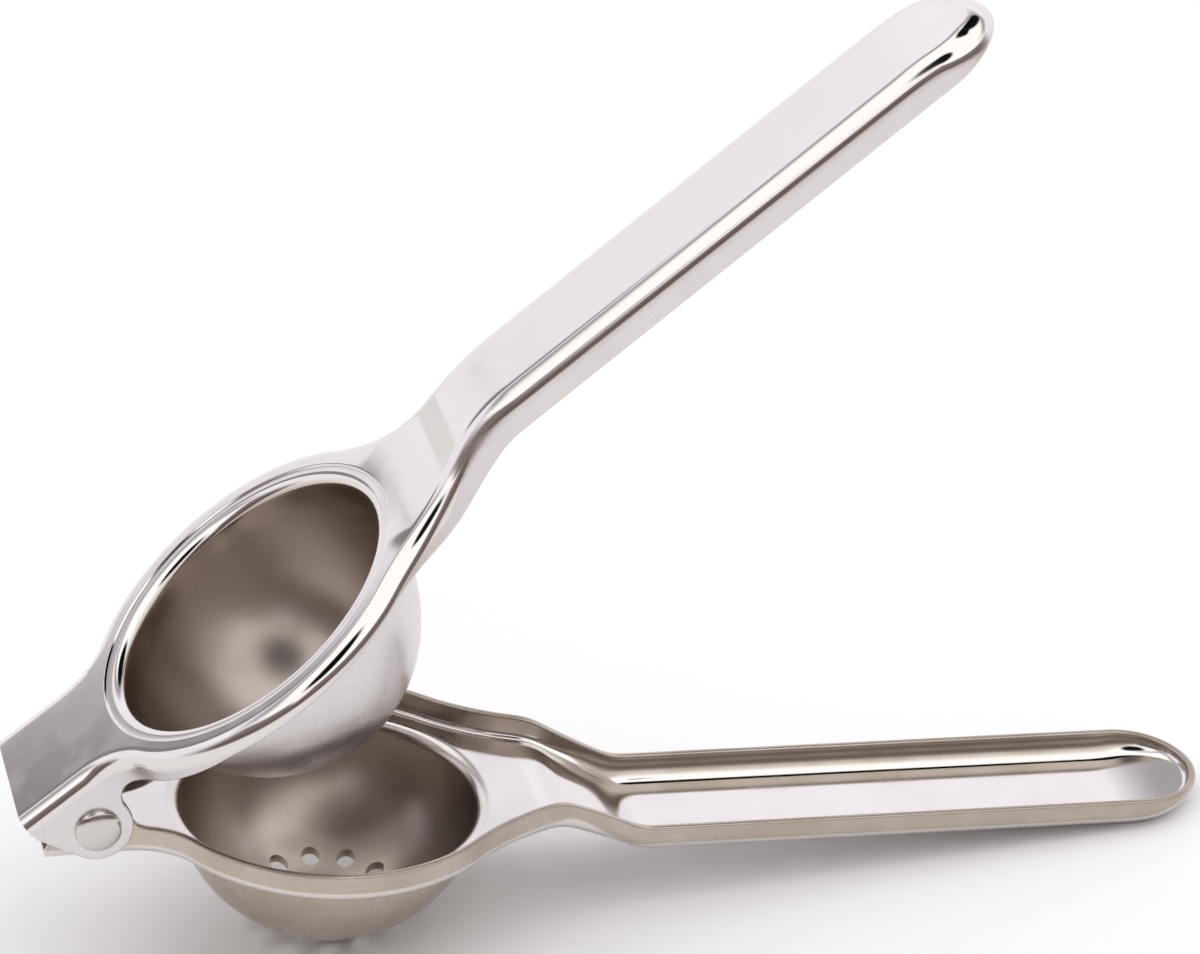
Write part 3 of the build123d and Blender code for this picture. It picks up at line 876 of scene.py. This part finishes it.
# ------------ operators
class SQUEEZER_OT_press_half(bpy.types.Operator):
    """Build the upper half: flat face with the cup, edges turned down, bored ears"""
    bl_idname = "squeezer.press_half"
    bl_label = "Press Half"

    def execute(self, context):
        s = context.scene.squeezer
        half = s.press
        turned = strainer_turn(s) + s.opening
        web = side_line(s, half)
        handle_edge = half.web_z + half.rise - half.handle_edge
        beyond = s.tip_x + MM
        # The edge's depth changes from the hinge to the cup, the neck and the handle.
        points = [
            (half.tail_x - MM, half.web_z - half.hinge_edge),
            (s.bowl_x - 0.8 * half.flange_r, half.web_z - half.hinge_edge),
            (s.bowl_x - 0.35 * half.flange_r, half.web_z - half.cup_edge),
            (s.bowl_x + 0.7 * half.flange_r, half.web_z - half.cup_edge),
            (half.crank_start + 2 * MM, half.web_z - half.neck_edge),
            (half.crank_end + 2 * MM, handle_edge),
            (beyond, handle_edge + tan(half.slope) * (beyond - half.crank_end)),
        ]
        edge = rounded_line(points, [s.edge_bend] * 5)
        patches = sheet_patches(s, half, web, edge, half.web_z - half.tail_edge, cup_rings(s, half))
        bowl = ((s.bowl_x, 0, half.web_z - half.rim_drop), half.cup_r, half.cup_depth)
        steel = buffed_stainless("buffed_stainless_press", s, half, s.press_wall_shade, turned, 1, bowl)
        piece = bored("press_shell", s, patches, half_place(turned, False), steel)
        smooth(piece.data)
        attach(piece, "press")
        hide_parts("press_half")
        return {"FINISHED"}


class SQUEEZER_OT_strainer_half(bpy.types.Operator):
    """Build the lower half: bowl with its juice holes, edges turned up, bored ears"""
    bl_idname = "squeezer.strainer_half"
    bl_label = "Strainer Half"

    def execute(self, context):
        s = context.scene.squeezer
        half = s.strainer
        turned = strainer_turn(s)
        web = side_line(s, half)
        rim = half.web_z - half.wall
        beyond = s.tip_x + MM
        points = [
            (half.tail_x - MM, rim),
            (half.crank_start, rim),
            (half.crank_end, rim + half.rise),
            (beyond, rim + half.rise + tan(half.slope) * (beyond - half.crank_end)),
        ]
        edge = rounded_line(points, [half.bend] * 2)
        patches = sheet_patches(s, half, web, edge, half.web_z - half.tail_edge, bowl_rings(s, half))
        bowl = ((s.bowl_x, 0, half.bowl_up - half.web_z), half.bowl_r, half.bowl_r)
        steel = buffed_stainless("buffed_stainless_strainer", s, half, s.strainer_wall_shade, turned, -1, bowl)
        place = half_place(turned, True)
        piece = bored("strainer_shell", s, patches, place, steel)
        floor_z = half.web_z - half.bowl_up + half.bowl_r
        applied(piece, punch_tree(), {
            "Hole Radius": half.hole_d / 2,
            "Inner Ring Radius": half.ring_r[0],
            "Inner Ring Count": half.ring_count[0],
            "Outer Ring Radius": half.ring_r[1],
            "Outer Ring Count": half.ring_count[1],
            "Punch Length": half.bowl_r / 1.3,
            "Place": place @ Vector((s.bowl_x, 0, floor_z)),
            "Tilt": (0, -turned, 0),
            "Material": steel,
        })
        smooth(piece.data)
        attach(piece, "strainer")
        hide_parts("strainer_half")
        return {"FINISHED"}


class SQUEEZER_OT_hinge_pin(bpy.types.Operator):
    """Build the pin with its two set heads"""
    bl_idname = "squeezer.hinge_pin"
    bl_label = "Hinge Pin"

    def execute(self, context):
        s = context.scene.squeezer
        pin = s.pin
        rise = pin.head_height - pin.head_edge
        crown = 1.1  # 1 is an elliptical crown, and more is leaner towards its rim
        crisp = 0.3 * MM  # short faces that keep the corner under the head crisp
        profile = [(0.0, pin.grip + pin.head_height)]
        for a in np.linspace(0.1, 0.92, 12):
            angle = a * pi / 2
            profile.append((pin.head_r * sin(angle), pin.grip + pin.head_edge + rise * cos(angle) ** crown))
        small = pin.head_edge / 2
        profile += arc_points((pin.head_r - small, pin.grip + small), small, 0.5, -pi / 2, 6)
        profile += [(pin.shaft_r + crisp, pin.grip), (pin.shaft_r, pin.grip)]
        profile += [(pin.shaft_r, y) for y in (pin.grip - crisp, pin.grip / 2, 0.0)]
        profile += [(r, -y) for r, y in profile[-2::-1]]
        at = np.linspace(0, 2 * pi, pin.facets + 1)
        patch = np.stack([
            np.stack([r * np.cos(at), np.full_like(at, y), r * np.sin(at)], -1) for r, y in profile
        ])
        mesh = welded("pin_with_heads", [patch], Matrix.Translation(HINGE))
        piece = piece_of("pin_with_heads", mesh, turned_steel("turned_stainless_pin", s.pin_steel))
        smooth(piece.data)
        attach(piece, "press")
        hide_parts("hinge_pin")
        return {"FINISHED"}


class SQUEEZER_OT_stage(bpy.types.Operator):
    """Set the paper floor, the soft light and the camera"""
    bl_idname = "squeezer.stage"
    bl_label = "Stage"

    def execute(self, context):
        s = context.scene.squeezer
        mesh = bpy.data.meshes.new("paper_floor")
        reach = 3.0  # metres from the middle to the paper's edges
        z = -0.1 * MM  # just under the squeezer
        mesh.from_pydata(
            [(-reach, -reach, z), (reach, -reach, z), (reach, reach, z), (-reach, reach, z)], [],
            [(0, 1, 2, 3)],
        )
        piece_of("paper_floor", mesh, matt_paper("matt_paper", s.floor))
        self.light(context)
        self.world(context)
        camera = bpy.data.objects.new("camera", bpy.data.cameras.new("camera"))
        context.scene.collection.objects.link(camera)
        camera.data.lens = s.lens
        camera.data.clip_end = 20.0
        a, e = s.azimuth, s.elevation
        back = Vector((sin(a) * cos(e), -cos(a) * cos(e), sin(e)))
        right = Vector((cos(a), sin(a), 0))
        up = back.cross(right)
        right, up = right * cos(s.roll) + up * sin(s.roll), up * cos(s.roll) - right * sin(s.roll)
        matrix = Matrix((right, up, back)).transposed().to_4x4()
        matrix.translation = Vector(s.aim) + back * s.distance
        camera.matrix_world = matrix
        context.scene.camera = camera
        context.scene.view_settings.view_transform = "Standard"
        return {"FINISHED"}

    def light(self, context):
        """A wide soft light over the floor, which the steel doesn't mirror."""
        data = bpy.data.lights.new("overhead_softbox", "AREA")
        data.size = 3.0
        data.energy = 14.0
        lamp = bpy.data.objects.new("overhead_softbox", data)
        lamp.location = (0, 0, 1.8)
        lamp.visible_glossy = False
        context.scene.collection.objects.link(lamp)

    def world(self, context):
        """White tent: pale behind with a grey band above, warm grey in front, and four round cards."""
        world = bpy.data.worlds.new("white_tent")
        world.use_nodes = True
        context.scene.world = world
        tree = world.node_tree
        way = node(tree, "ShaderNodeTexCoord")
        parts = node(tree, "ShaderNodeSeparateXYZ", None, {"Vector": way.outputs["Generated"]})
        behind = node(tree, "ShaderNodeValToRGB", None, {0: parts.outputs["Z"]})
        self.ramp(behind, (
            (0.0, "E9E6EA"), (0.3, "E6E3E9"), (0.5, "F1EEF5"),
            (0.6, "A09C9F"), (0.66, "A09C9F"), (0.74, "FFFFFF"),
        ))
        front = node(tree, "ShaderNodeValToRGB", None, {0: parts.outputs["Z"]})
        self.ramp(front, (
            (0.0, "EFE8E2"), (0.06, "978A84"), (0.14, "5E5452"), (0.28, "665B59"),
            (0.36, "7A6D6A"), (0.5, "74686A"), (0.56, "FFFFFF"),
        ))
        side = node(
            tree, "ShaderNodeMapRange", SOFT_STEP,
            {"Value": parts.outputs["Y"], "From Min": -0.25, "From Max": 0.25},
        )
        mixed = node(tree, "ShaderNodeMix", COLOURS, {
            "Factor": side, "A": front.outputs["Color"], "B": behind.outputs["Color"]
        })
        # A card's azimuth counts from straight behind, and it fades from its inner to its outer radius.
        for azimuth, elevation, inner, outer, code in (
            (26, 54, 14, 18, "0B0A0A"),
            (208, 58, 14, 20, "0C0B0A"),
            (206, 33, 6, 10, "F8F0F6"),
            (-38, 20, 8.6, 10.7, "827D7E"),
        ):
            a, e = radians(azimuth), radians(elevation)
            card = node(tree, "ShaderNodeVectorMath", {"operation": "DOT_PRODUCT"}, {
                0: way.outputs["Generated"], 1: (sin(a) * cos(e), cos(a) * cos(e), sin(e))
            })
            fade = cos(radians(outer)), cos(radians(inner))
            edge = node(tree, "ShaderNodeMapRange", SOFT_STEP, {
                "Value": card.outputs["Value"], "From Min": fade[0], "From Max": fade[1]
            })
            mixed = node(tree, "ShaderNodeMix", COLOURS, {
                "Factor": edge, "A": mixed.outputs["Result"], "B": (*linear(code), 1)
            })
        background = tree.nodes["Background"]
        tree.links.new(mixed.outputs["Result"], background.inputs["Color"])
        background.inputs["Strength"].default_value = 1.4

    def ramp(self, made, stops):
        """Sets the stops of a colour ramp that is still as it was made."""
        elements = made.color_ramp.elements
        while len(elements) < len(stops):
            elements.new(1.0)
        for element, (position, code) in zip(elements, stops):
            element.position = position
            element.color = (*linear(code), 1)


class SQUEEZER_PT_panel(bpy.types.Panel):
    """Sizes and finishes of the squeezer, with one button for each piece"""
    bl_idname = "SQUEEZER_PT_panel"
    bl_label = "Lemon Squeezer"
    bl_space_type = "VIEW_3D"
    bl_region_type = "UI"
    bl_category = "Squeezer"

    def draw(self, context):
        s = context.scene.squeezer
        column = self.layout.column()
        for operator in OPERATORS:
            column.operator(operator.bl_idname)
        for name in SqueezerSettings.__annotations__:
            if name not in ("press", "strainer", "pin"):
                column.prop(s, name)
        for group in (s.press, s.strainer, s.pin):
            box = column.box()
            for name in group.__annotations__:
                box.prop(group, name)


OPERATORS = (
    SQUEEZER_OT_stage,
    SQUEEZER_OT_press_half,
    SQUEEZER_OT_strainer_half,
    SQUEEZER_OT_hinge_pin,
)
CLASSES = (PressSizes, StrainerSizes, PinSizes, SqueezerSettings, *OPERATORS, SQUEEZER_PT_panel)


def register():
    for cls in CLASSES:
        bpy.utils.register_class(cls)
    bpy.types.Scene.squeezer = PointerProperty(type=SqueezerSettings)


def unregister():
    del bpy.types.Scene.squeezer
    for cls in reversed(CLASSES):
        bpy.utils.unregister_class(cls)


def main():
    register()
    bpy.ops.squeezer.stage()
    bpy.ops.squeezer.press_half()
    bpy.ops.squeezer.strainer_half()
    bpy.ops.squeezer.hinge_pin()


if __name__ == "__main__":
    main()
